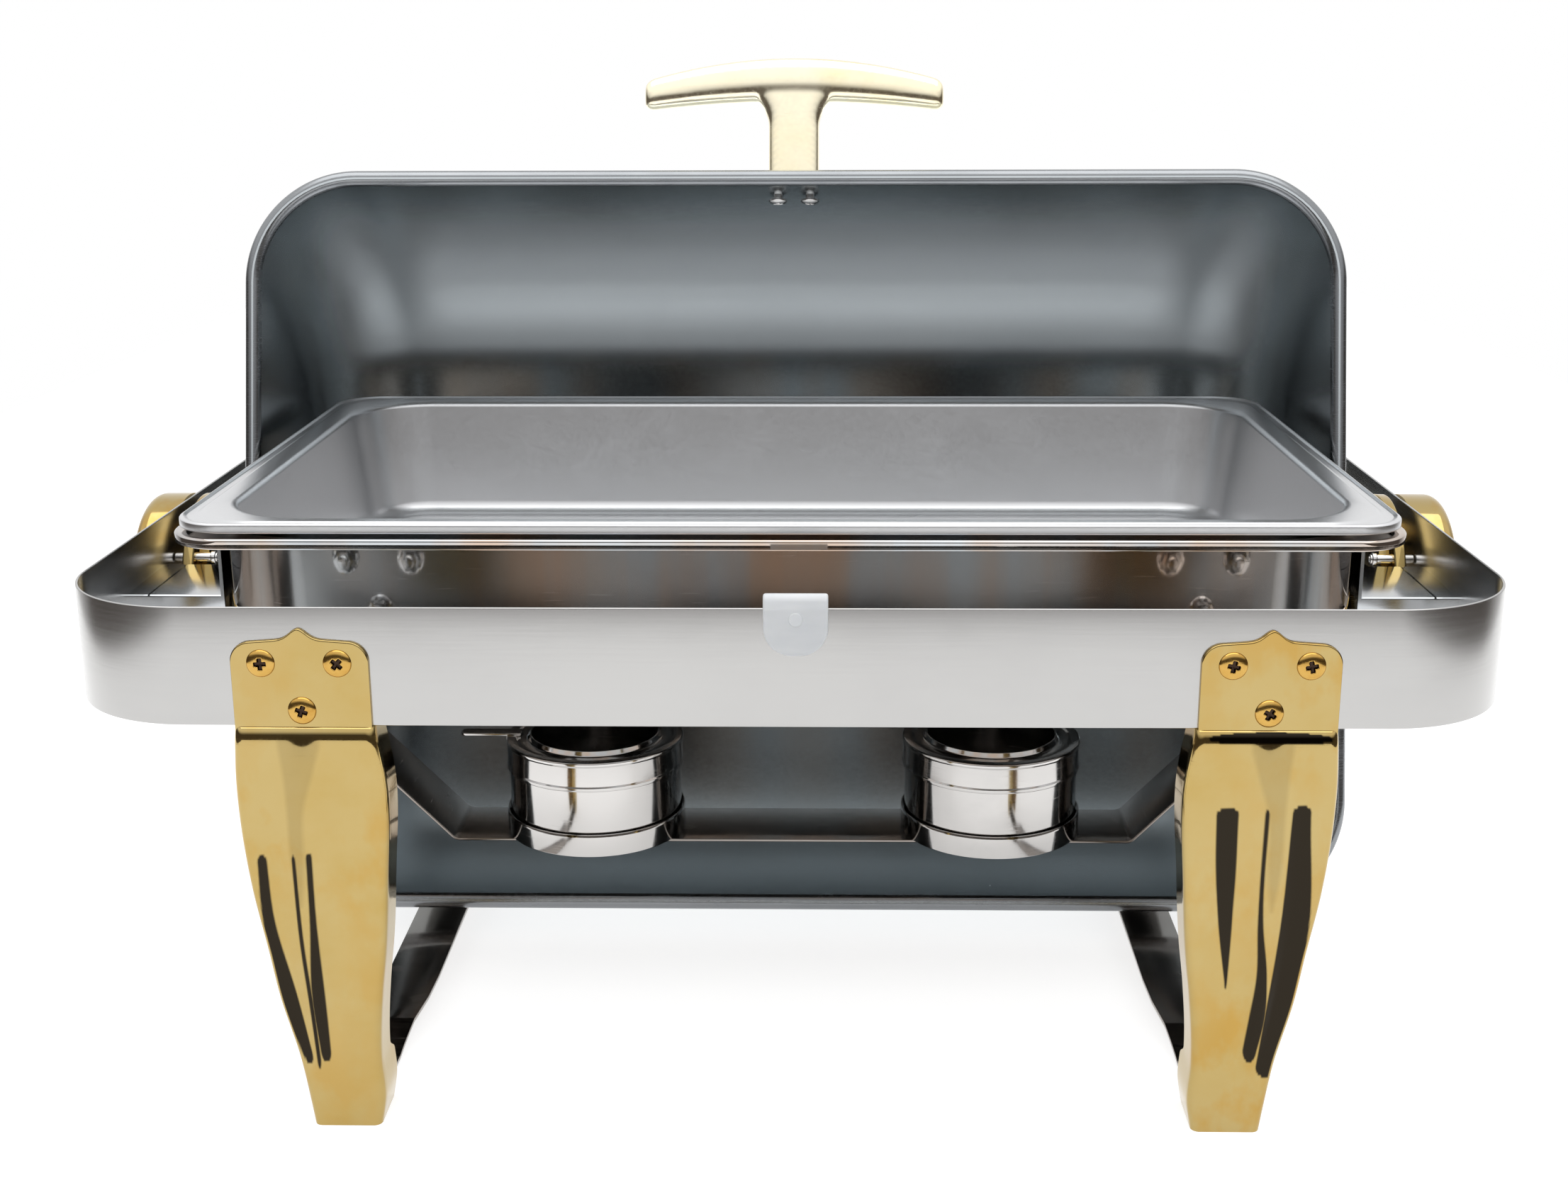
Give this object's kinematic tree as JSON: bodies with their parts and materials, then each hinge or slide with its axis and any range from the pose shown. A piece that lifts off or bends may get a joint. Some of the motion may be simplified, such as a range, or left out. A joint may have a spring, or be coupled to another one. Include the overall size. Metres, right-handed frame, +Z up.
{
  "type": "roll-top chafing dish",
  "caption": "Roll-top chafing dish with an apron frame on sheet legs, lift-out water and food pans, roll-back cover and fuel holders.",
  "frame": {"origin": "middle of the footprint on the table, cover open", "axes": "+Z up, -Y towards the person serving, +X to their right"},
  "size_m": [0.644, 0.4522, 0.4416],
  "materials": {
    "apron_steel": "satin",
    "mirror_steel": "polished",
    "cover_steel": "satin",
    "pan_steel": "satin",
    "brass": "polished",
    "brass_screws": "polished",
    "steel_fixings": "polished",
    "dark_steel": "satin",
    "clear_plastic": "translucent"
  },
  "bodies": {
    "frame": {"band_apron": "apron_steel", "side_ledge_left": "mirror_steel", "side_ledge_right": "mirror_steel", "leg_front_left": "brass", "leg_front_right": "brass", "leg_rear_left": "brass", "leg_rear_right": "brass", "leg_screws": "brass_screws", "leg_nuts": "steel_fixings", "floor_runner_left": "dark_steel", "floor_runner_right": "dark_steel", "fuel_shelf": "dark_steel", "seat_ring_left": "mirror_steel", "seat_ring_right": "mirror_steel", "hinge_seat_left": "brass", "hinge_seat_right": "brass", "hinge_cap_left": "brass", "hinge_cap_right": "brass", "hinge_axle_left": "steel_fixings", "hinge_axle_right": "steel_fixings", "stop_pin_left": "steel_fixings", "stop_pin_right": "steel_fixings", "bumper_clip": "clear_plastic"},
    "cover": {"cover_shell": "cover_steel", "cover_handle": "brass", "handle_screws": "steel_fixings", "hinge_disc_left": "brass", "hinge_disc_right": "brass", "cover_rivets": "steel_fixings"},
    "water_bath": {"water_pan": "pan_steel"},
    "food": {"food_pan": "pan_steel"},
    "fuel_holder_left": {"fuel_cup_left": "mirror_steel"},
    "lid_left": {"fuel_lid_left": "mirror_steel"},
    "fuel_holder_right": {"fuel_cup_right": "mirror_steel"},
    "lid_right": {"fuel_lid_right": "mirror_steel"}
  },
  "joints": [
    {"name": "cover_hinge", "type": "hinge", "parent": "frame", "child": "cover", "pos_m": [0, 0, 0.204], "axis": [-1, 0, 0], "range_deg": [-105, 0]},
    {"name": "water_pan_lift", "type": "slide", "parent": "frame", "child": "water_bath", "axis": [0, 0, 1], "range_m": [0, 0.015]},
    {"name": "food_pan_lift", "type": "slide", "parent": "water_bath", "child": "food", "axis": [0, 0, 1], "range_m": [0, 0.028]},
    {"name": "fuel_left_lift", "type": "slide", "parent": "frame", "child": "fuel_holder_left", "axis": [0, 0, 1], "range_m": [0, 0.014]},
    {"name": "fuel_lid_left_lift", "type": "slide", "parent": "fuel_holder_left", "child": "lid_left", "axis": [0, 0, 1], "range_m": [0, 0.015]},
    {"name": "fuel_right_lift", "type": "slide", "parent": "frame", "child": "fuel_holder_right", "axis": [0, 0, 1], "range_m": [0, 0.014]},
    {"name": "fuel_lid_right_lift", "type": "slide", "parent": "fuel_holder_right", "child": "lid_right", "axis": [0, 0, 1], "range_m": [0, 0.015]}
  ]
}
